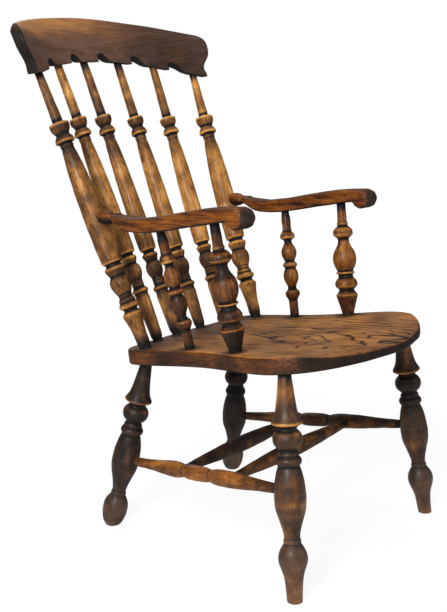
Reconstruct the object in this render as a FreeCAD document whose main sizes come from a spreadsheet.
"""Turned and sawn wooden armchair with a high spindle back, as separate jointed pieces."""
import FreeCAD
import Part
import math
import os
import Sketcher

os.makedirs("parts", exist_ok=True)
doc = FreeCAD.newDocument("armchair")
Vector = FreeCAD.Vector
Rotation = FreeCAD.Rotation
Placement = FreeCAD.Placement

# Driving dimensions in millimetres and degrees.
# The chair faces -Y. Lengths along Y count from the line midway between the front and rear feet.
SIZES = {
    # The whole
    "origin_setback": 73.3,
    "joint_clearance": 0.15,
    "socket_floor_gap": 0.4,
    "cut_overrun": 8.0,
    "full_turn": 360.0,
    # Seat
    "seat_height": 428.0,
    "seat_slope_angle": 6.4,
    "seat_thickness": 33.0,
    "seat_front_reach": 348.0,
    "seat_back_reach": 220.0,
    "seat_half_width": 241.0,
    "seat_front_skew": 12.0,
    "seat_top_rounding": 5.5,
    "seat_bottom_rounding": 4.5,
    "scoop_depth": 17.0,
    "seat_socket_depth": 25.0,
    "plain_end": 6.0,
    # Legs
    "front_foot_side": 247.3,
    "front_foot_reach": 263.8,
    "front_leg_top_side": 209.8,
    "front_leg_top_reach": 223.3,
    "rear_foot_side": 210.3,
    "rear_foot_reach": 263.8,
    "rear_leg_top_side": 154.5,
    "rear_leg_top_reach": 182.4,
    "leg_radius": 29.6,
    "leg_tenon_radius": 12.6,
    # Stretchers
    "stretcher_front_up": 205.0,
    "stretcher_rear_up": 155.0,
    "side_stretcher_radius": 16.6,
    "side_tenon_radius": 9.2,
    "side_tenon_stop": 12.0,
    "side_plain_stop": 34.0,
    "rear_cross_share_of_side": 0.383,
    "front_cross_share_of_side": 0.671,
    "cross_stretcher_radius": 17.2,
    "cross_tenon_radius": 7.8,
    "cross_tenon_stop": 4.5,
    "cross_plain_stop": 20.0,
    # Back
    "back_lean_angle": 21.0,
    "crest_back": 441.5,
    "crest_height_up": 1006.6,
    "crest_bend_radius": 540.0,
    "crest_bend_angle": 90.0,
    "crest_under_radius": 545.0,
    "crest_sawing_reach": 130.0,
    "crest_half_span": 283.0,
    "crest_height": 109.0,
    "crest_thickness": 23.0,
    "crest_roll_back": 13.0,
    "crest_socket_depth": 26.0,
    "crest_arch_width": 40.0,
    "crest_arch_step": 15.0,
    "stile_base_side": 185.9,
    "stile_base_back": 153.1,
    "stile_top_side": 239.7,
    "stile_top_drop": 52.0,
    "stile_radius": 23.8,
    "stile_share_at_arm": 1.0,
    "stile_foot_radius": 12.2,
    "stile_head_radius": 8.0,
    "outer_base_side": 112.1,
    "outer_base_back": 187.6,
    "outer_top_side": 147.2,
    "outer_top_drop": 23.0,
    "inner_base_side": 40.0,
    "inner_base_back": 199.5,
    "inner_top_side": 52.4,
    "inner_top_drop": 3.0,
    "spindle_radius": 20.0,
    "spindle_foot_radius": 10.2,
    "spindle_head_radius": 7.2,
    # Arms
    "arm_height": 684.0,
    "arm_length": 411.0,
    "arm_width": 45.0,
    "arm_depth": 29.0,
    "arm_rounding": 5.0,
    "arm_boss_radius": 15.2,
    "arm_boss_length": 44.0,
    "arm_tenon_radius": 7.6,
    "arm_tenon_stop": 3.0,
    "arm_socket_depth": 17.0,
    "post_base_side": 196.6,
    "post_rake": 27.8,
    "post_place_share": 0.8022,
    "post_top_outset": 2.0,
    "post_radius": 25.8,
    "post_foot_radius": 12.8,
    "post_head_radius": 9.6,
    "prop_base_side": 179.4,
    "prop_rake": 41.3,
    "prop_place_share": 0.4446,
    "prop_top_inset": 5.4,
    "prop_radius": 17.6,
    "prop_foot_radius": 10.2,
    "prop_head_radius": 8.7,
}

sheet = doc.addObject("Spreadsheet::Sheet", "Sizes")
for row, (alias, value) in enumerate(SIZES.items(), start=1):
    cell = "B" + str(row)
    sheet.set("A" + str(row), alias.replace("_", " "))
    sheet.set(cell, str(value))
    sheet.setAlias(cell, alias)
doc.recompute()


def size(alias):
    """A driving dimension, read back from the sheet."""
    return float(sheet.get(alias))


def spot(side, back, up):
    """A point of the chair, with the origin under the middle of the whole."""
    return Vector(side, back - size("origin_setback"), up)


# Outlines of the turned pieces. Each stretch is a run of points (share of length, share of radius):
# two points make a straight line, more make a smooth curve, and the next stretch starts at its end.

# Share of the front leg's length measured down from the seat.
LEG_OUTLINE_SHARES = (
    ((0.045, 0.460), (0.095, 0.545), (0.138, 0.625), (0.168, 0.700), (0.186, 0.775), (0.204, 0.915)),
    ((0.204, 0.915), (0.214, 0.985), (0.220, 0.975)),
    ((0.220, 0.975), (0.234, 0.640)),
    ((0.234, 0.640), (0.241, 0.600), (0.248, 0.640)),
    ((0.248, 0.640), (0.262, 0.850), (0.287, 0.955), (0.314, 0.840), (0.330, 0.600)),
    ((0.330, 0.600), (0.337, 0.560), (0.343, 0.610)),
    ((0.343, 0.610), (0.352, 0.670), (0.360, 0.645)),
    ((0.360, 0.645), (0.370, 0.770), (0.381, 0.825), (0.392, 0.790), (0.400, 0.700)),
    ((0.400, 0.700), (0.405, 0.675)),
    ((0.405, 0.675), (0.430, 0.800), (0.470, 0.925), (0.512, 0.985), (0.555, 1.0), (0.598, 0.935),
     (0.642, 0.745), (0.686, 0.575), (0.709, 0.510), (0.722, 0.510)),
    ((0.722, 0.510), (0.728, 0.545), (0.735, 0.565), (0.742, 0.545)),
    ((0.742, 0.545), (0.748, 0.575)),
)
FRONT_FOOT_SHARES = (
    ((0.748, 0.575), (0.765, 0.740), (0.785, 0.870), (0.808, 0.930), (0.832, 0.885), (0.858, 0.760), (0.885, 0.635),
     (0.912, 0.570), (0.955, 0.520), (1.0, 0.485), (1.03, 0.465)),
)
REAR_FOOT_SHARES = (
    ((0.748, 0.575), (0.765, 0.740), (0.785, 0.870), (0.812, 0.920), (0.845, 0.900), (0.875, 0.800), (0.900, 0.660),
     (0.916, 0.470), (0.935, 0.250)),
)
# Share of the length from the seat to the crest rail, measured up.
STILE_OUTLINE_SHARES = (
    ((0.014, 0.560), (0.050, 0.590), (0.080, 0.665), (0.105, 0.775), (0.119, 0.880)),
    ((0.119, 0.880), (0.127, 0.875)),
    ((0.127, 0.875), (0.134, 0.720), (0.141, 0.590)),
    ((0.141, 0.590), (0.145, 0.670)),
    ((0.145, 0.670), (0.151, 0.850), (0.158, 0.905), (0.164, 0.850)),
    ((0.164, 0.850), (0.169, 0.710)),
    ((0.169, 0.710), (0.173, 0.745), (0.178, 0.725), (0.182, 0.670)),
    ((0.182, 0.670), (0.186, 0.590)),
    ((0.186, 0.590), (0.191, 0.620), (0.196, 0.600)),
    ((0.196, 0.600), (0.213, 0.810), (0.235, 0.935), (0.253, 0.840), (0.263, 0.660)),
    ((0.263, 0.660), (0.276, 0.800), (0.289, 0.930)),
    ((0.289, 0.930), (0.295, 0.890)),
    ((0.295, 0.890), (0.301, 0.710)),
    ((0.301, 0.710), (0.307, 0.690)),
    ((0.307, 0.690), (0.314, 0.930)),
    ((0.314, 0.930), (0.322, 0.955), (0.430, 1.0), (0.500, 0.975), (0.560, 0.930), (0.620, 0.845), (0.680, 0.715),
     (0.715, 0.600), (0.730, 0.530)),
    ((0.730, 0.530), (0.735, 0.590), (0.741, 0.600), (0.746, 0.560)),
    ((0.746, 0.560), (0.751, 0.860)),
    ((0.751, 0.860), (0.756, 0.885)),
    ((0.756, 0.885), (0.766, 0.790), (0.774, 0.660), (0.780, 0.590)),
    ((0.780, 0.590), (0.788, 0.730), (0.799, 0.860), (0.813, 0.895)),
    ((0.813, 0.895), (0.817, 0.885)),
    ((0.817, 0.885), (0.822, 0.485)),
    ((0.822, 0.485), (0.900, 0.420), (0.984, 0.360)),
)
# Share of the length from the seat to the crest rail, measured up.
SPINDLE_OUTLINE_SHARES = (
    ((0.014, 0.610), (0.040, 0.660), (0.090, 0.715), (0.130, 0.765), (0.150, 0.785)),
    ((0.150, 0.785), (0.155, 0.710)),
    ((0.155, 0.710), (0.160, 0.730), (0.165, 0.710)),
    ((0.165, 0.710), (0.171, 0.880), (0.177, 0.900), (0.184, 0.690)),
    ((0.184, 0.690), (0.190, 0.630)),
    ((0.190, 0.630), (0.196, 0.665), (0.202, 0.630)),
    ((0.202, 0.630), (0.208, 0.665), (0.214, 0.630)),
    ((0.214, 0.630), (0.230, 0.870), (0.247, 0.940), (0.262, 0.850), (0.271, 0.650)),
    ((0.271, 0.650), (0.282, 0.780), (0.292, 0.915)),
    ((0.292, 0.915), (0.297, 0.865)),
    ((0.297, 0.865), (0.302, 0.650)),
    ((0.302, 0.650), (0.308, 0.650)),
    ((0.308, 0.650), (0.314, 0.940)),
    ((0.314, 0.940), (0.322, 0.965), (0.420, 1.0), (0.500, 0.955), (0.580, 0.885), (0.650, 0.795), (0.700, 0.680),
     (0.722, 0.595)),
    ((0.722, 0.595), (0.728, 0.645), (0.734, 0.660), (0.740, 0.620)),
    ((0.740, 0.620), (0.746, 0.920)),
    ((0.746, 0.920), (0.751, 0.945)),
    ((0.751, 0.945), (0.760, 0.860), (0.767, 0.720), (0.773, 0.620)),
    ((0.773, 0.620), (0.780, 0.770), (0.789, 0.915), (0.802, 0.950)),
    ((0.802, 0.950), (0.806, 0.940)),
    ((0.806, 0.940), (0.811, 0.545)),
    ((0.811, 0.545), (0.900, 0.500), (0.985, 0.445)),
)
# How far up each turning's beads sit from the pattern, as a share of its length.
SLIDE_SHARES = {
    ("stile", "right"): 0.0,
    ("stile", "left"): 0.006,
    ("outer", "right"): 0.008,
    ("outer", "left"): -0.001,
    ("inner", "right"): -0.003,
    ("inner", "left"): -0.012,
}
SLIDE_RANGE_SHARES = (0.1, 0.95)
# Share of the length from the seat to the arm, measured up.
POST_OUTLINE_SHARES = (
    ((0.045, 0.570), (0.090, 0.680), (0.135, 0.815), (0.177, 0.930)),
    ((0.177, 0.930), (0.184, 0.925)),
    ((0.184, 0.925), (0.200, 0.800), (0.223, 0.640)),
    ((0.223, 0.640), (0.231, 0.640)),
    ((0.231, 0.640), (0.245, 0.790), (0.262, 0.925), (0.277, 0.955), (0.293, 0.945)),
    ((0.293, 0.945), (0.317, 0.840)),
    ((0.317, 0.840), (0.325, 0.780)),
    ((0.325, 0.780), (0.338, 0.660), (0.358, 0.610)),
    ((0.358, 0.610), (0.368, 0.660)),
    ((0.368, 0.660), (0.375, 0.780), (0.381, 0.810), (0.387, 0.780)),
    ((0.387, 0.780), (0.394, 0.640)),
    ((0.394, 0.640), (0.440, 0.875), (0.476, 0.980), (0.511, 1.0), (0.566, 0.900), (0.602, 0.690), (0.638, 0.510),
     (0.670, 0.460), (0.688, 0.480)),
    ((0.688, 0.480), (0.700, 0.640), (0.712, 0.760)),
    ((0.712, 0.760), (0.722, 0.840)),
    ((0.722, 0.840), (0.735, 0.845)),
    ((0.735, 0.845), (0.738, 0.815)),
    ((0.738, 0.815), (0.743, 0.845)),
    ((0.743, 0.845), (0.765, 0.780), (0.784, 0.620), (0.800, 0.430)),
    ((0.800, 0.430), (0.808, 0.455)),
    ((0.808, 0.455), (0.816, 0.475), (0.826, 0.450)),
    ((0.826, 0.450), (0.834, 0.400)),
    ((0.834, 0.400), (0.920, 0.385)),
)
# Share of the length from the seat to the arm, measured up.
PROP_OUTLINE_SHARES = (
    ((0.080, 0.590), (0.155, 0.580)),
    ((0.155, 0.580), (0.162, 0.620)),
    ((0.162, 0.620), (0.175, 0.690)),
    ((0.175, 0.690), (0.195, 0.870), (0.212, 0.945), (0.225, 0.950)),
    ((0.225, 0.950), (0.240, 0.890)),
    ((0.240, 0.890), (0.255, 0.650)),
    ((0.255, 0.650), (0.268, 0.560), (0.280, 0.540)),
    ((0.280, 0.540), (0.305, 0.640), (0.335, 0.850), (0.380, 0.990), (0.420, 0.920), (0.445, 0.780), (0.460, 0.690)),
    ((0.460, 0.690), (0.468, 0.740)),
    ((0.468, 0.740), (0.478, 0.890), (0.490, 0.945), (0.502, 0.900), (0.515, 0.740)),
    ((0.515, 0.740), (0.524, 0.610)),
    ((0.524, 0.610), (0.545, 0.730), (0.575, 0.920), (0.610, 1.0), (0.650, 0.880), (0.682, 0.620), (0.705, 0.500)),
    ((0.705, 0.500), (0.722, 0.500)),
    ((0.722, 0.500), (0.735, 0.700)),
    ((0.735, 0.700), (0.743, 0.900), (0.752, 0.955), (0.762, 0.950)),
    ((0.762, 0.950), (0.785, 0.880), (0.803, 0.700), (0.812, 0.590)),
    ((0.812, 0.590), (0.822, 0.615), (0.832, 0.590)),
    ((0.832, 0.590), (0.842, 0.550)),
    ((0.842, 0.550), (0.915, 0.605), (0.960, 0.530)),
)
# Share of the length between the two legs' axes, measured from the rear.
SIDE_STRETCHER_SHARES = (
    ((0.110, 0.600), (0.170, 0.650), (0.250, 0.810), (0.310, 0.970), (0.345, 1.0), (0.375, 0.940),
     (0.397, 0.840)),
    ((0.397, 0.840), (0.401, 0.780)),
    ((0.401, 0.780), (0.405, 0.800)),
    ((0.405, 0.800), (0.430, 0.900), (0.484, 0.945), (0.535, 0.890), (0.560, 0.790)),
    ((0.560, 0.790), (0.564, 0.770)),
    ((0.564, 0.770), (0.568, 0.820)),
    ((0.568, 0.820), (0.600, 0.950), (0.655, 1.0), (0.720, 0.940), (0.790, 0.790), (0.850, 0.660), (0.890, 0.620)),
)
# Share of the length between the two side stretchers' axes.
CROSS_STRETCHER_SHARES = (
    ((0.110, 0.560), (0.200, 0.700), (0.340, 0.900), (0.500, 1.0), (0.660, 0.900), (0.800, 0.700),
     (0.890, 0.560)),
)

# Arm, measured forward from the stile's axis and up from the joint: share of length, share of depth.
ARM_TOP_SHARES = (
    ((0.140, 0.340), (0.170, 0.270), (0.210, 0.190), (0.265, 0.080), (0.322, 0.030), (0.380, 0.110), (0.477, 0.260),
     (0.536, 0.414), (0.611, 0.590), (0.672, 0.730), (0.733, 0.862), (0.794, 0.966), (0.855, 1.035), (0.910, 1.062),
     (0.951, 1.069)),
)
ARM_ROLL_SHARES = (
    ((0.951, 1.069), (0.985, 0.866), (1.0, 0.379), (0.985, -0.108), (0.951, -0.310), (0.917, -0.108),
     (0.904, 0.120)),
)
ARM_UNDER_SHARES = (
    ((0.904, 0.120), (0.862, 0.103), (0.801, -0.034), (0.738, -0.172), (0.638, -0.379), (0.570, -0.552),
     (0.504, -0.690), (0.441, -0.810), (0.368, -0.879), (0.300, -0.872), (0.244, -0.790), (0.205, -0.600),
     (0.172, -0.400), (0.140, -0.340)),
)
# Arm seen from above: share of length, share of half width.
ARM_PLAN_SHARES = (
    ((0.140, 0.440), (0.155, 0.620), (0.178, 0.860), (0.205, 0.985)),
    ((0.205, 0.985), (0.240, 1.0)),
    ((0.240, 1.0), (1.1, 1.0)),
)
# Neck and ball at the arm's rear end: share of the arm's length, share of the ball's radius.
BOSS_SHARES = (
    ((0.030, 0.520), (0.048, 0.800), (0.070, 0.970), (0.092, 1.0), (0.114, 0.900), (0.130, 0.680)),
    ((0.130, 0.680), (0.136, 0.620), (0.146, 0.640)),
    ((0.146, 0.640), (0.190, 0.640)),
)
# Seat seen from above: share of the half width, share of the front or rear reach.
SEAT_PLAN_SHARES = (
    (0.0, -1.0), (0.160, -0.988), (0.311, -0.962), (0.436, -0.940), (0.581, -0.898), (0.700, -0.855), (0.800, -0.805),
    (0.885, -0.745), (0.950, -0.675), (0.990, -0.600), (1.0, -0.545), (0.988, -0.455), (0.960, -0.365),
    (0.925, -0.260), (0.885, -0.150), (0.858, -0.040), (0.850, 0.120), (0.852, 0.280), (0.862, 0.450), (0.868, 0.620),
    (0.862, 0.760), (0.838, 0.865), (0.780, 0.930), (0.690, 0.957), (0.560, 0.972), (0.380, 0.986), (0.190, 0.996),
    (0.0, 1.0),
)
# Scoop sections from rear to front: share of the reach, share of half width, share of depth.
SCOOP_SHARES = (
    (0.600, 0.420, 0.020),
    (0.200, 0.640, 0.450),
    (-0.280, 0.740, 0.850),
    (-0.630, 0.860, 0.960),
    (-1.080, 1.010, 1.0),
)
# One scoop section: share of its half width, share of its depth.
SCOOP_SECTION_SHARES = (
    (0.0, 1.0), (0.150, 0.980), (0.300, 0.930), (0.500, 0.830), (0.700, 0.640), (0.850, 0.380), (0.940, 0.160),
    (1.0, 0.0), (1.05, -0.140),
)
# Crest rail section: share of thickness across, share of the roll back, share of the rail's height.
CREST_SECTION_SHARES = (
    ((-0.500, 0.0, -0.600), (-0.500, 0.0, 0.250)),
    ((-0.500, 0.0, 0.250), (-0.500, 0.080, 0.450), (-0.500, 0.300, 0.650), (-0.500, 0.750, 0.860),
     (-0.500, 1.200, 1.040)),
    ((-0.500, 1.200, 1.040), (0.300, 0.600, 1.040)),
    ((0.300, 0.600, 1.040), (0.420, 0.450, 0.900), (0.500, 0.250, 0.650), (0.500, 0.100, 0.400), (0.500, 0.0, 0.100)),
    ((0.500, 0.0, 0.100), (0.500, 0.0, -0.600)),
)
# Right end of the rail from the lower tip up: share of half span, share of height.
CREST_END_SHARES = (
    ((0.930, -0.570), (0.930, -0.480)),
    ((0.930, -0.480), (0.922, -0.400), (0.935, -0.290), (0.972, -0.170), (0.990, -0.080), (1.0, 0.070),
     (1.0, 0.200), (0.985, 0.310), (0.955, 0.390), (0.915, 0.450)),
)
CREST_TOP_SHARES = (
    (0.915, 0.450), (0.815, 0.565), (0.700, 0.680), (0.567, 0.790), (0.400, 0.885), (0.200, 0.965), (0.0, 0.995),
    (-0.200, 0.965), (-0.400, 0.885), (-0.567, 0.790), (-0.700, 0.680), (-0.815, 0.565), (-0.915, 0.450),
)
# The arches in the lower edge: their places as shares of the half span, all leaning the same way.
CREST_ARCH_SHARES = (-0.660, -0.320, 0.008, 0.353, 0.686)
ARCH_WALL_SHARE = 0.375
ARCH_SHARES = ((-0.260, 0.470), (-0.060, 0.510), (0.130, 0.440), (0.300, 0.250), (0.420, 0.100), (0.625, 0.0))


def body_plane(body, role):
    """One of a body's own origin planes."""
    return next(item for item in body.Origin.OriginFeatures if item.Role == role)


def new_sketch(body, name, role):
    """An empty sketch on one of the body's origin planes."""
    sketch = body.newObject("Sketcher::SketchObject", name)
    sketch.AttachmentSupport = [(body_plane(body, role), "")]
    sketch.MapMode = "FlatFace"
    return sketch


def stretch_curve(points):
    """A line through two points, or a smooth curve through more."""
    if len(points) == 2:
        return Part.LineSegment(points[0], points[1])
    curve = Part.BSplineCurve()
    curve.interpolate(points)
    return curve


def closed_outline(sketch, stretches):
    """Draws the stretches, and a last line that closes them where they don't meet."""
    for stretch in stretches:
        sketch.addGeometry(stretch_curve(stretch), False)
    last, first = stretches[-1][-1], stretches[0][0]
    if (last - first).Length > 0:
        sketch.addGeometry(Part.LineSegment(last, first), False)


def turned(name, radius, shares, length, low_end, high_end):
    """A piece turned on the lathe: the outline's shares, in real sizes, spun round the body's Z axis.

    Each end is the height of its last point and the sheet's name for its radius, or nothing where
    the outline's own shares run to the end.
    """
    body = doc.addObject("PartDesign::Body", name)
    sketch = new_sketch(body, name + "_outline", "XZ_Plane")
    runs = [[Vector(across * radius, up * length, 0) for up, across in run] for run in shares]
    if low_end:
        runs[0].insert(0, Vector(size(low_end[1]), low_end[0], 0))
    if high_end:
        runs[-1].append(Vector(size(high_end[1]), high_end[0], 0))
    first = Vector(0, runs[0][0].y, 0)
    last = Vector(0, runs[-1][-1].y, 0)
    closed_outline(sketch, [[first, runs[0][0]]] + runs + [[runs[-1][-1], last]])
    turning = body.newObject("PartDesign::Revolution", name + "_turning")
    turning.Profile = sketch
    turning.ReferenceAxis = (sketch, ["V_Axis"])
    turning.setExpression("Angle", "Sizes.full_turn")
    return body


def add_tenon(body, name, radius_alias, depth_rule, height, upward):
    """A round tenon at the given height of a turned body, growing away from it."""
    sketch = new_sketch(body, name + "_round", "XY_Plane")
    sketch.AttachmentOffset = Placement(Vector(0, 0, height), Rotation())
    sketch.addGeometry(Part.Circle(Vector(0, 0, 0), Vector(0, 0, 1), size(radius_alias)), False)
    sketch.addConstraint(Sketcher.Constraint("Coincident", 0, 3, -1, 1))
    sketch.addConstraint(Sketcher.Constraint("Radius", 0, size(radius_alias)))
    sketch.renameConstraint(1, "tenon_radius")
    sketch.setExpression("Constraints.tenon_radius", "Sizes." + radius_alias)
    pad = body.newObject("PartDesign::Pad", name)
    pad.Profile = sketch
    pad.setExpression("Length", depth_rule)
    pad.Reversed = not upward
    return pad


def along(start, end):
    """The turn that takes +Z to the direction from start to end, with no spin about it."""
    return Rotation(Vector(0, 0, 1), end - start)


def bore(name, radius_alias, start, end):
    """A round cutter from start to end, its radius the tenon's and the joint's clearance."""
    cutter = doc.addObject("Part::Cylinder", name)
    cutter.setExpression("Radius", "Sizes." + radius_alias + " + Sizes.joint_clearance")
    cutter.Height = (end - start).Length
    cutter.Placement = Placement(start, along(start, end))
    return cutter


def cut_away(name, label, base, cutters):
    """The base piece less its cutters, under the piece's own label."""
    current = base
    for number, cutter in enumerate(cutters, start=1):
        result = doc.addObject("Part::Cut", name + "_cut_" + str(number))
        result.Base = current
        result.Tool = cutter
        current = result
    current.Label = label
    return current


def point_between(start, end, distance):
    """The point at a distance from start towards end."""
    step = end - start
    step.normalize()
    return start + step * distance


SIDES = (("right", -1), ("left", 1))
pieces = []

# Seat plane. The seat board slopes down to the rear.
slope = math.radians(size("seat_slope_angle"))
seat_placement = Placement(spot(0, 0, size("seat_height")), Rotation(Vector(1, 0, 0), -size("seat_slope_angle")))
vertical_thickness = size("seat_thickness") / math.cos(slope)


def seat_top(side, back):
    """The point of the seat's upper plane over a place on the floor."""
    return spot(side, back, size("seat_height") - back * math.tan(slope))


def seat_under(side, back):
    """The point of the seat's lower plane over a place on the floor."""
    return seat_top(side, back) - Vector(0, 0, vertical_thickness)


# The crest rail stands in its own leaning frame: X across, Y back, Z up the lean.
crest_placement = Placement(
    spot(0, size("crest_back"), size("crest_height_up")),
    Rotation(Vector(1, 0, 0), -size("back_lean_angle")),
)


def crest_setback(side):
    """How far the bent rail's middle line has come forward at a distance from the centre."""
    bend = size("crest_bend_radius")
    return math.sqrt(bend ** 2 - side ** 2) - bend


def crest_point(side, up):
    """A point on the rail's middle line, in the chair's frame."""
    return crest_placement.multVec(Vector(side, crest_setback(side), up))


# The lines that the turned pieces stand on, for the sitter's right side and mirrored for the left.
BACK_MEMBERS = ("stile", "outer", "inner")
lines = {}
for side_name, sign in SIDES:
    lines["front_leg", side_name] = (
        spot(sign * size("front_foot_side"), -size("front_foot_reach"), 0),
        seat_under(sign * size("front_leg_top_side"), -size("front_leg_top_reach")),
    )
    lines["rear_leg", side_name] = (
        spot(sign * size("rear_foot_side"), size("rear_foot_reach"), 0),
        seat_under(sign * size("rear_leg_top_side"), size("rear_leg_top_reach")),
    )
    for member in BACK_MEMBERS:
        lines[member, side_name] = (
            seat_top(sign * size(member + "_base_side"), size(member + "_base_back")),
            crest_point(sign * size(member + "_top_side"), -size(member + "_top_drop")),
        )


def stile_at_arm(side_name):
    """The point on a stile's axis where the arm is tenoned into it."""
    foot, head = lines["stile", side_name]
    share = (size("arm_height") - foot.z) / (head.z - foot.z)
    return foot + (head - foot) * share


def arm_under(share):
    """The height of the arm's underside at a share of its length, counted from the stile."""
    run = ARM_UNDER_SHARES[0]
    for (far, low), (near, high) in zip(run, run[1:]):
        if near <= share <= far:
            return size("arm_height") + size("arm_depth") * (low + (high - low) * (share - far) / (near - far))
    return size("arm_height")


def arm_support(member, side_name, sign, outset):
    """The line of a post or prop, from the seat to the arm's underside. Its foot is raked forward."""
    joint = stile_at_arm(side_name)
    share = size(member + "_place_share")
    back = joint.y + size("origin_setback") - share * size("arm_length")
    foot = seat_top(sign * size(member + "_base_side"), back - size(member + "_rake"))
    return foot, spot(joint.x + sign * outset, back, arm_under(share))


for side_name, sign in SIDES:
    lines["post", side_name] = arm_support("post", side_name, sign, size("post_top_outset"))
    lines["prop", side_name] = arm_support("prop", side_name, sign, -size("prop_top_inset"))


def socket_for(member, side_name, radius_alias, depth, at_top):
    """The cutter for a member's tenon at its foot or its head, run past the face it enters."""
    foot, head = lines[member, side_name]
    here, there = (head, foot) if at_top else (foot, head)
    return bore(
        member + "_" + side_name + ("_head" if at_top else "_foot") + "_socket", radius_alias,
        point_between(here, there, -size(depth)),
        point_between(here, there, size("plain_end") + size("cut_overrun")),
    )


# Legs. Both pairs are turned to one pattern; the rear pair is cut short in its lowest swelling.
# Their outlines are drawn downwards from the seat, so they stand on their heads until placed.
leg_pattern = (lines["front_leg", "right"][1] - lines["front_leg", "right"][0]).Length


def stretcher_ends(side_name):
    """Where a side stretcher's line meets the rear and the front leg's axis."""
    rear = point_between(*lines["rear_leg", side_name], size("stretcher_rear_up"))
    front = point_between(*lines["front_leg", side_name], size("stretcher_front_up"))
    return rear, front


def leg(leg_name, side_name, foot_shares):
    """One turned leg: tenoned into the seat, bored for the side stretcher, sawn flat at the floor."""
    foot, top = lines[leg_name, side_name]
    name = leg_name + "_" + side_name
    outline = LEG_OUTLINE_SHARES + foot_shares
    body = turned(name + "_turned", size("leg_radius"), outline, leg_pattern,
                  (size("plain_end"), "leg_tenon_radius"), None)
    add_tenon(body, name + "_tenon", "leg_tenon_radius",
              "Sizes.seat_socket_depth + Sizes.plain_end - Sizes.socket_floor_gap", size("plain_end"), False)
    body.Placement = Placement(top, along(top, foot))
    rear, front = stretcher_ends(side_name)
    start, end = (front, rear) if leg_name == "front_leg" else (rear, front)
    socket = bore(
        name + "_socket", "side_tenon_radius",
        point_between(start, end, size("side_tenon_stop") - size("socket_floor_gap")),
        point_between(start, end, size("side_plain_stop") + size("cut_overrun")),
    )
    span = size("seat_front_reach")
    floor = doc.addObject("Part::Box", name + "_floor")
    floor.setExpression("Length", "Sizes.seat_front_reach")
    floor.setExpression("Width", "Sizes.seat_front_reach")
    floor.setExpression("Height", "Sizes.seat_front_reach")
    floor.Placement = Placement(Vector(foot.x - span / 2, foot.y - span / 2, -span), Rotation())
    return cut_away(name, name, body, [socket, floor])


for side_name, sign in SIDES:
    pieces.append(leg("front_leg", side_name, FRONT_FOOT_SHARES))
    pieces.append(leg("rear_leg", side_name, REAR_FOOT_SHARES))


def member_between(name, label_radius, shares, start, end, plain, stop, end_radius):
    """A turned member tenoned at both ends, its sizes measured from the axes that it joins."""
    length = (end - start).Length
    body = turned(name + "_turned", size(label_radius), shares, length,
                  (size(plain), end_radius), (length - size(plain), end_radius))
    rule = "Sizes." + plain + " - Sizes." + stop
    add_tenon(body, name + "_low_tenon", end_radius, rule, size(plain), False)
    add_tenon(body, name + "_high_tenon", end_radius, rule, length - size(plain), True)
    body.Placement = Placement(start, along(start, end))
    return body


# Side stretchers: two long swellings with a bead between them, bored for the cross stretchers.
CROSSES = ("rear_cross", "front_cross")
cross_lines = {}
for side_name, sign in SIDES:
    rear, front = stretcher_ends(side_name)
    for cross in CROSSES:
        distance = size(cross + "_share_of_side") * (front - rear).Length
        cross_lines[cross, side_name] = point_between(rear, front, distance)


def side_stretcher(side_name, other):
    """The stretcher between a front and a rear leg."""
    rear, front = stretcher_ends(side_name)
    name = "side_stretcher_" + side_name
    body = member_between(name, "side_stretcher_radius", SIDE_STRETCHER_SHARES, rear, front,
                          "side_plain_stop", "side_tenon_stop", "side_tenon_radius")
    cutters = []
    for cross in CROSSES:
        here, there = cross_lines[cross, side_name], cross_lines[cross, other]
        cutters.append(bore(
            name + "_" + cross + "_socket", "cross_tenon_radius",
            point_between(here, there, size("cross_tenon_stop") - size("socket_floor_gap")),
            point_between(here, there, size("cross_plain_stop") + size("cut_overrun")),
        ))
    return cut_away(name, name, body, cutters)


pieces.append(side_stretcher("right", "left"))
pieces.append(side_stretcher("left", "right"))

# Cross stretchers: a plain long swelling.
for cross in CROSSES:
    body = member_between(cross + "_stretcher", "cross_stretcher_radius", CROSS_STRETCHER_SHARES,
                          cross_lines[cross, "right"], cross_lines[cross, "left"],
                          "cross_plain_stop", "cross_tenon_stop", "cross_tenon_radius")
    body.Label = cross + "_stretcher"
    pieces.append(body)


def slid(outline, slide):
    """The outline with its beads moved up by a share of the length. Its ends stay in place."""
    low, high = SLIDE_RANGE_SHARES
    return [[(up + slide if low < up < high else up, across) for up, across in run] for run in outline]


def upright(member, side_name, label, outline, radius_alias, foot_radius, head_radius, head_depth):
    """A turned upright, tenoned down into the seat and up into the rail or the arm."""
    outline = slid(outline, SLIDE_SHARES.get((member, side_name), 0))
    foot, head = lines[member, side_name]
    length = (head - foot).Length
    body = turned(label + "_turned", size(radius_alias), outline, length,
                  (size("plain_end"), foot_radius), (length - size("plain_end"), head_radius))
    extra = " + Sizes.plain_end - Sizes.socket_floor_gap"
    add_tenon(body, label + "_foot_tenon", foot_radius, "Sizes.seat_socket_depth" + extra,
              size("plain_end"), False)
    add_tenon(body, label + "_head_tenon", head_radius, "Sizes." + head_depth + extra,
              length - size("plain_end"), True)
    body.Placement = Placement(foot, along(foot, head))
    body.Label = label
    return body


# Stiles: the outermost two uprights of the back, bored for the arms.
for side_name, sign in SIDES:
    body = upright("stile", side_name, "stile_" + side_name + "_turning", STILE_OUTLINE_SHARES, "stile_radius",
                   "stile_foot_radius", "stile_head_radius", "crest_socket_depth")
    joint = stile_at_arm(side_name)
    socket = bore(
        "stile_" + side_name + "_socket", "arm_tenon_radius",
        joint - Vector(0, size("arm_tenon_stop") - size("socket_floor_gap"), 0),
        joint - Vector(0, size("stile_radius") + size("cut_overrun"), 0),
    )
    pieces.append(cut_away("stile_" + side_name, "stile_" + side_name, body, [socket]))

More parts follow.
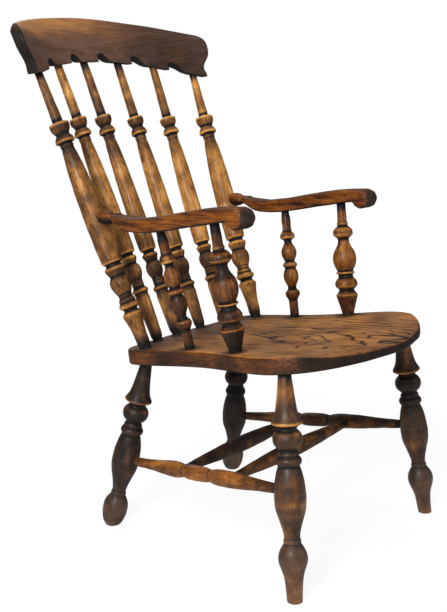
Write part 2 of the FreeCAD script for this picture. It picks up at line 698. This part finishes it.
# Back spindles: four between the stiles.
for side_name, sign in SIDES:
    for member in ("outer", "inner"):
        pieces.append(upright(member, side_name, member + "_spindle_" + side_name, SPINDLE_OUTLINE_SHARES,
                              "spindle_radius", "spindle_foot_radius", "spindle_head_radius", "crest_socket_depth"))

# Arm posts at the front and slimmer props behind them.
for side_name, sign in SIDES:
    pieces.append(upright("post", side_name, "arm_post_" + side_name, POST_OUTLINE_SHARES, "post_radius",
                          "post_foot_radius", "post_head_radius", "arm_socket_depth"))
    pieces.append(upright("prop", side_name, "arm_prop_" + side_name, PROP_OUTLINE_SHARES, "prop_radius",
                          "prop_foot_radius", "prop_head_radius", "arm_socket_depth"))


def padded(name, role, stretches, depth, periodic=False):
    """A body padded equally to both sides of a plane from a closed outline of stretches."""
    body = doc.addObject("PartDesign::Body", name)
    sketch = new_sketch(body, name + "_outline", role)
    if periodic:
        curve = Part.BSplineCurve()
        curve.interpolate(Points=stretches[0], PeriodicFlag=True)
        sketch.addGeometry(curve, False)
    else:
        closed_outline(sketch, stretches)
    pad = body.newObject("PartDesign::Pad", name + "_pad")
    pad.Profile = sketch
    pad.setExpression("Length", depth)
    pad.Midplane = True
    return body


def common(name, base, tool):
    """What two pieces share."""
    result = doc.addObject("Part::Common", name)
    result.Base = base
    result.Tool = tool
    return result


# Arms. Each is sawn to a side outline with a rolled front end, then narrowed to a turned neck at the rear.
def arm(side_name, sign):
    """One arm with its neck, its ball and the dowel that enters the stile."""
    name = "arm_" + side_name
    joint = stile_at_arm(side_name)
    long, deep = size("arm_length"), size("arm_depth")
    stretches = [[Vector(-along_share * long, up_share * deep, 0) for along_share, up_share in run]
                 for run in ARM_TOP_SHARES + ARM_ROLL_SHARES + ARM_UNDER_SHARES]
    side = padded(name + "_side", "YZ_Plane", stretches, "Sizes.arm_width")
    doc.recompute()
    sawn_side = side.Tip
    rounding = side.newObject("PartDesign::Fillet", name + "_rounding")
    half = size("arm_width") / 2
    edges = []
    for number, edge in enumerate(side.Shape.Edges, start=1):
        box = edge.BoundBox
        flat = box.XLength < half / 2
        forward = box.YMin < -size("arm_boss_length") - half
        if flat and forward and box.YLength + box.ZLength > half:
            edges.append("Edge" + str(number))
    rounding.Base = (sawn_side, edges)
    rounding.setExpression("Radius", "Sizes.arm_rounding")
    plan_runs = []
    for run in ARM_PLAN_SHARES:
        plan_runs.append([Vector(across * half, -along_share * long, 0) for along_share, across in run])
    mirrored = [[Vector(-point.x, point.y, 0) for point in reversed(run)] for run in reversed(plan_runs)]
    front = [plan_runs[-1][-1], mirrored[0][0]]
    plan = padded(name + "_plan", "XY_Plane", plan_runs + [front] + mirrored, "Sizes.arm_length")
    sawn = common(name + "_sawn", side, plan)
    neck = doc.addObject("PartDesign::Body", name + "_neck")
    sketch = new_sketch(neck, name + "_neck_outline", "XY_Plane")
    ball = size("arm_boss_radius")
    runs = [[Vector(across * ball, -along_share * long, 0) for along_share, across in run] for run in BOSS_SHARES]
    first = Vector(0, runs[0][0].y, 0)
    last = Vector(0, runs[-1][-1].y, 0)
    closed_outline(sketch, [[first, runs[0][0]]] + runs + [[runs[-1][-1], last]])
    turning = neck.newObject("PartDesign::Revolution", name + "_neck_turning")
    turning.Profile = sketch
    turning.ReferenceAxis = (sketch, ["V_Axis"])
    turning.setExpression("Angle", "Sizes.full_turn")
    for body in (side, plan, neck):
        body.Placement = Placement(joint, Rotation())
    whole = doc.addObject("Part::Fuse", name + "_whole")
    whole.Base = sawn
    whole.Tool = neck
    # The ball is hollowed to sit against the stile, and the dowel goes on into it.
    foot, head = lines["stile", side_name]
    hollow = doc.addObject("Part::Cylinder", name + "_hollow")
    hollow.setExpression("Radius", "Sizes.stile_radius * Sizes.stile_share_at_arm + Sizes.joint_clearance")
    hollow.setExpression("Height", "Sizes.arm_boss_length * 2")
    hollow.Placement = Placement(point_between(joint, foot, size("arm_boss_length")), along(foot, head))
    hollowed = doc.addObject("Part::Cut", name + "_hollowed")
    hollowed.Base = whole
    hollowed.Tool = hollow
    dowel = doc.addObject("Part::Cylinder", name + "_dowel")
    dowel.setExpression("Radius", "Sizes.arm_tenon_radius")
    dowel.setExpression("Height", "Sizes.arm_boss_length - Sizes.arm_tenon_stop")
    tip = joint - Vector(0, size("arm_tenon_stop"), 0)
    dowel.Placement = Placement(tip, along(joint, joint - Vector(0, size("arm_length"), 0)))
    fused = doc.addObject("Part::Fuse", name + "_fused")
    fused.Base = hollowed
    fused.Tool = dowel
    cutters = [
        socket_for("post", side_name, "post_head_radius", "arm_socket_depth", True),
        socket_for("prop", side_name, "prop_head_radius", "arm_socket_depth", True),
    ]
    return cut_away(name, name, fused, cutters)


for side_name, sign in SIDES:
    pieces.append(arm(side_name, sign))


# Seat board.
def seat():
    """The board: sawn outline, rounded edges, scooped top that runs out at the front, and its sockets."""
    half = size("seat_half_width")
    right_half = []
    for across, reach in SEAT_PLAN_SHARES:
        length = size("seat_back_reach") if reach > 0 else size("seat_front_reach")
        right_half.append(Vector(across * half, reach * length, 0))
    left_half = [Vector(-point.x, point.y, 0) for point in reversed(right_half[1:-1])]
    # Sawn by hand, the front is a little deeper on the sitter's right.
    for point in right_half + left_half:
        if point.y < 0:
            point.y -= size("seat_front_skew") * (point.x / half) * (point.y / size("seat_front_reach"))
    board = doc.addObject("PartDesign::Body", "seat_board")
    sketch = new_sketch(board, "seat_outline", "XY_Plane")
    curve = Part.BSplineCurve()
    curve.interpolate(Points=right_half + left_half, PeriodicFlag=True)
    sketch.addGeometry(curve, False)
    pad = board.newObject("PartDesign::Pad", "seat_pad")
    pad.Profile = sketch
    pad.setExpression("Length", "Sizes.seat_thickness")
    pad.Reversed = True
    doc.recompute()
    top_edges = []
    under_edges = []
    for number, edge in enumerate(board.Shape.Edges, start=1):
        box = edge.BoundBox
        if box.ZLength > size("joint_clearance"):
            continue
        if box.ZMin > -size("seat_thickness") / 2:
            top_edges.append("Edge" + str(number))
        else:
            under_edges.append("Edge" + str(number))
    upper = board.newObject("PartDesign::Fillet", "seat_upper_rounding")
    upper.Base = (pad, top_edges)
    upper.setExpression("Radius", "Sizes.seat_top_rounding")
    doc.recompute()
    under_edges = [
        "Edge" + str(number) for number, edge in enumerate(board.Shape.Edges, start=1)
        if edge.BoundBox.ZMax < -size("seat_thickness") + size("joint_clearance")
    ]
    lower = board.newObject("PartDesign::Fillet", "seat_lower_rounding")
    lower.Base = (upper, under_edges)
    lower.setExpression("Radius", "Sizes.seat_bottom_rounding")
    # The scoop is lofted through cross-sections that widen and deepen towards the front.
    sections = []
    for place, width, depth in SCOOP_SHARES:
        reach = size("seat_back_reach") if place > 0 else size("seat_front_reach")
        section = new_sketch(board, "scoop_section_" + str(len(sections) + 1), "XZ_Plane")
        section.AttachmentOffset = Placement(Vector(0, 0, -place * reach), Rotation())
        wide = width * half
        deep = depth * size("scoop_depth")
        right = [Vector(across * wide, -down * deep, 0) for across, down in SCOOP_SECTION_SHARES]
        left = [Vector(-point.x, point.y, 0) for point in reversed(right[1:])]
        bottom = left + right
        top = size("cut_overrun")
        closed_outline(section, [
            bottom,
            [bottom[-1], Vector(bottom[-1].x, top, 0)],
            [Vector(bottom[-1].x, top, 0), Vector(bottom[0].x, top, 0)],
        ])
        sections.append(section)
    scoop = board.newObject("PartDesign::SubtractiveLoft", "seat_scoop")
    scoop.Profile = sections[0]
    scoop.Sections = sections[1:]
    board.Placement = seat_placement
    cutters = []
    for side_name, sign in SIDES:
        for member, radius in (("stile", "stile_foot_radius"), ("outer", "spindle_foot_radius"),
                               ("inner", "spindle_foot_radius"), ("post", "post_foot_radius"),
                               ("prop", "prop_foot_radius")):
            cutters.append(socket_for(member, side_name, radius, "seat_socket_depth", False))
        for leg_name in ("front_leg", "rear_leg"):
            cutters.append(socket_for(leg_name, side_name, "leg_tenon_radius", "seat_socket_depth", True))
    return cut_away("seat", "seat", board, cutters)


pieces.append(seat())


# Crest rail.
def rail_place(across, up):
    """A place on the rail's front face: distance from its centre, and height above its lower edge there."""
    return across * size("crest_half_span"), up * size("crest_height")


def sawn_through(place, distance):
    """Where the saw's line through a place on the front face meets a plane at a distance behind the centre."""
    across, height = place
    bend = size("crest_bend_radius")
    face = bend - size("crest_thickness") / 2
    turn = math.asin(across / face)
    behind_face = distance - (face * math.cos(turn) - bend)
    level = math.tan(math.radians(size("back_lean_angle")))
    return Vector((bend + distance) * math.tan(turn), height + behind_face * level, 0)


def crest():
    """The bent rail: its rolled section swept round the bend, sawn to the front outline, with its sockets."""
    bend, high = size("crest_bend_radius"), size("crest_height")
    band = doc.addObject("PartDesign::Body", "crest_band")
    sketch = new_sketch(band, "crest_section", "YZ_Plane")
    runs = []
    for run in CREST_SECTION_SHARES:
        runs.append([
            Vector(bend + half_share * size("crest_thickness") + roll * size("crest_roll_back"), up * high, 0)
            for half_share, roll, up in run
        ])
    closed_outline(sketch, runs)
    turning = band.newObject("PartDesign::Revolution", "crest_bending")
    turning.Profile = sketch
    turning.ReferenceAxis = (sketch, ["V_Axis"])
    turning.setExpression("Angle", "Sizes.crest_bend_angle")
    turning.Midplane = True
    band.Placement = crest_placement.multiply(Placement(Vector(0, -bend, 0), Rotation()))
    # The rail is sawn level from front to back, and square to its bend at the ends, so its outline
    # is drawn on a plane before the rail and again on one behind it, and lofted between them.
    right_end = [[rail_place(across, up) for across, up in run] for run in CREST_END_SHARES]
    left_end = [[(-across, up) for across, up in reversed(run)] for run in reversed(right_end)]
    top_run = [rail_place(across, up) for across, up in CREST_TOP_SHARES]
    runs = right_end + [top_run] + left_end + crest_under_edge(left_end[-1][-1], right_end[0][0])
    front = doc.addObject("PartDesign::Body", "crest_front")
    outlines = []
    for name, distance in (("crest_outline_before", -size("crest_sawing_reach")),
                           ("crest_outline_behind", size("crest_sawing_reach") / 2)):
        outline = new_sketch(front, name, "XZ_Plane")
        outline.AttachmentOffset = Placement(Vector(0, 0, -distance), Rotation())
        closed_outline(outline, [[sawn_through(place, distance) for place in run] for run in runs])
        outlines.append(outline)
    sawing = front.newObject("PartDesign::AdditiveLoft", "crest_sawing")
    sawing.Profile = outlines[0]
    sawing.Sections = outlines[1:]
    sawing.Ruled = True
    front.Placement = crest_placement
    rail = common("crest_rail_sawn", band, front)
    cutters = []
    for side_name, sign in SIDES:
        for member, radius in (("stile", "stile_head_radius"), ("outer", "spindle_head_radius"),
                               ("inner", "spindle_head_radius")):
            cutters.append(socket_for(member, side_name, radius, "crest_socket_depth", True))
    return cut_away("crest_rail", "crest_rail", rail, cutters)


def under_edge_height(across):
    """The height of the rail's plain lower edge at a distance from its centre."""
    radius = size("crest_under_radius")
    return math.sqrt(radius ** 2 - across ** 2) - radius


def crest_under_edge(start, end):
    """The lower edge: flat runs between small arches that all lean the same way."""
    runs = []
    current = start
    width, step = size("crest_arch_width"), size("crest_arch_step")
    for middle_share in CREST_ARCH_SHARES:
        middle = middle_share * size("crest_half_span")
        foot = middle - ARCH_WALL_SHARE * width
        low = (foot, under_edge_height(foot))
        between = (current[0] + foot) / 2
        runs.append([current, (between, under_edge_height(between)), low])
        high = (foot, low[1] + step)
        runs.append([low, high])
        arch = [high]
        for across, up in ARCH_SHARES:
            place = middle + across * width
            arch.append((place, under_edge_height(place) + up * width))
        runs.append(arch)
        current = arch[-1]
    between = (current[0] + end[0]) / 2
    runs.append([current, (between, under_edge_height(between)), end])
    return runs


pieces.append(crest())

# Everything is worked out once more and checked before it is written.
doc.recompute()
for item in doc.Objects:
    if "Invalid" in item.State or "Error" in item.State:
        raise RuntimeError(item.Name + " is in a bad state")
for piece in pieces:
    if piece.Shape.isNull() or not piece.Shape.isValid() or len(piece.Shape.Solids) != 1:
        raise RuntimeError(piece.Label + " is not one sound solid")
    piece.Shape.exportStep("parts/" + piece.Label + ".step")
print("wrote", len(pieces), "pieces")
